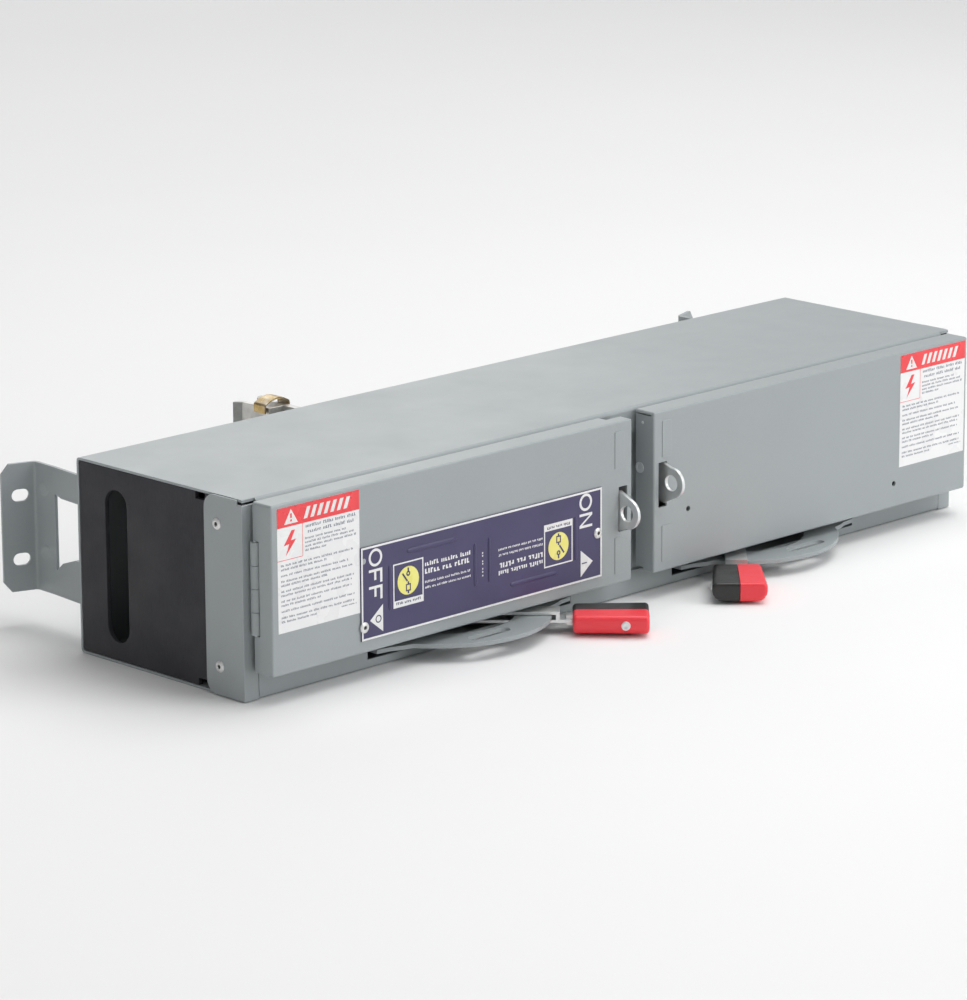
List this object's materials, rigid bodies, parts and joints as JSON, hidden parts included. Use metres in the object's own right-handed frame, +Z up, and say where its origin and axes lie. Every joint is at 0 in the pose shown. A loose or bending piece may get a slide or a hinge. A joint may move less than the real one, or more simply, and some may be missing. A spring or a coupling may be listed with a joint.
{
  "type": "ac disconnect box",
  "caption": "Twin fusible AC disconnect unit: long grey steel case, hinged doors with padlock latches, swinging red and black handles, rear plug-on jaws and brackets.",
  "frame": {"origin": "middle of the underside of the overall box: half the length, half the depth from the handle grips to the bracket tips, at the underside of the case", "axes": "+X along the case to the right as seen from the doors, +Y from the doors to the rear brackets, +Z up"},
  "size_m": [0.5964, 0.2864, 0.1143],
  "materials": {
    "case_paint": "satin grey enamel on sheet steel",
    "black_moulding": "black moulded phenolic and fibre board",
    "zinc_steel": "zinc-plated steel",
    "tinned_bus": "tin-plated bus metal",
    "spring_brass": "yellow zinc spring steel or brass",
    "nameplate_print": "printed sheet metal plate",
    "grip_black": "black moulded grip",
    "grip_red": "red moulded grip",
    "fuse_body": "tan fibre tube with plated ferrules"
  },
  "bodies": {
    "case": {"case_wrap": "case_paint", "end_stile_left": "case_paint", "end_stile_right": "case_paint", "end_barrier_left": "black_moulding", "end_barrier_right": "black_moulding", "mounting_bracket_left": "case_paint", "mounting_bracket_right": "case_paint", "centre_post": "case_paint", "hinge_frame_leaf_left": "case_paint", "hinge_frame_leaf_right": "case_paint", "hinge_pin_left": "zinc_steel", "hinge_pin_right": "zinc_steel", "padlock_plate_left": "case_paint", "padlock_plate_right": "case_paint", "switch_base_left": "black_moulding", "switch_base_right": "black_moulding", "line_base": "black_moulding", "line_bus_a": "tinned_bus", "jaw_spring_a": "spring_brass", "load_contact_a_left": "tinned_bus", "load_contact_a_right": "tinned_bus", "fuse_a_left": "fuse_body", "fuse_a_right": "fuse_body", "load_lug_a_left": "tinned_bus", "load_lug_a_right": "tinned_bus", "line_bus_b": "tinned_bus", "jaw_spring_b": "spring_brass", "load_contact_b_left": "tinned_bus", "load_contact_b_right": "tinned_bus", "fuse_b_left": "fuse_body", "fuse_b_right": "fuse_body", "load_lug_b_left": "tinned_bus", "load_lug_b_right": "tinned_bus", "line_bus_c": "tinned_bus", "jaw_spring_c": "spring_brass", "load_contact_c_left": "tinned_bus", "load_contact_c_right": "tinned_bus", "fuse_c_left": "fuse_body", "fuse_c_right": "fuse_body", "load_lug_c_left": "tinned_bus", "load_lug_c_right": "tinned_bus"},
    "door_left": {"door_left": "case_paint", "hinge_door_leaf_left": "case_paint", "nameplate": "nameplate_print"},
    "door_right": {"door_right": "case_paint", "hinge_door_leaf_right": "case_paint"},
    "latch_left": {"latch_left": "zinc_steel"},
    "latch_right": {"latch_right": "zinc_steel"},
    "handle_left": {"handle_lever_left": "zinc_steel", "grip_black_left": "grip_black", "grip_red_left": "grip_red", "grip_rivet_left": "zinc_steel", "blade_rotor_left": "black_moulding"},
    "handle_right": {"handle_lever_right": "zinc_steel", "grip_black_right": "grip_black", "grip_red_right": "grip_red", "grip_rivet_right": "zinc_steel", "blade_rotor_right": "black_moulding"}
  },
  "joints": [
    {"name": "door_left_swing", "type": "hinge", "parent": "case", "child": "door_left", "pos_m": [-0.2904, -0.07691, 0.065], "axis": [0, 0, 1], "range_deg": [-105, 0]},
    {"name": "door_right_swing", "type": "hinge", "parent": "case", "child": "door_right", "pos_m": [0.2904, -0.07691, 0.065], "axis": [0, 0, 1], "range_deg": [0, 105]},
    {"name": "latch_left_lift", "type": "hinge", "parent": "door_left", "child": "latch_left", "pos_m": [-0.0187, -0.07921, 0.0511], "axis": [1, 0, 0], "range_deg": [-12, 0], "stiffness_Nm_per_rad": 0.02},
    {"name": "latch_right_lift", "type": "hinge", "parent": "door_right", "child": "latch_right", "pos_m": [0.0187, -0.07921, 0.0789], "axis": [1, 0, 0], "range_deg": [0, 12], "stiffness_Nm_per_rad": 0.02},
    {"name": "handle_left_throw", "type": "hinge", "parent": "case", "child": "handle_left", "pos_m": [-0.1239, -0.04721, 0.01], "axis": [0, 0, 1], "range_deg": [-90, 0]},
    {"name": "handle_right_throw", "type": "hinge", "parent": "case", "child": "handle_right", "pos_m": [0.1239, -0.04721, 0.01], "axis": [0, 0, 1], "range_deg": [0, 90]}
  ]
}
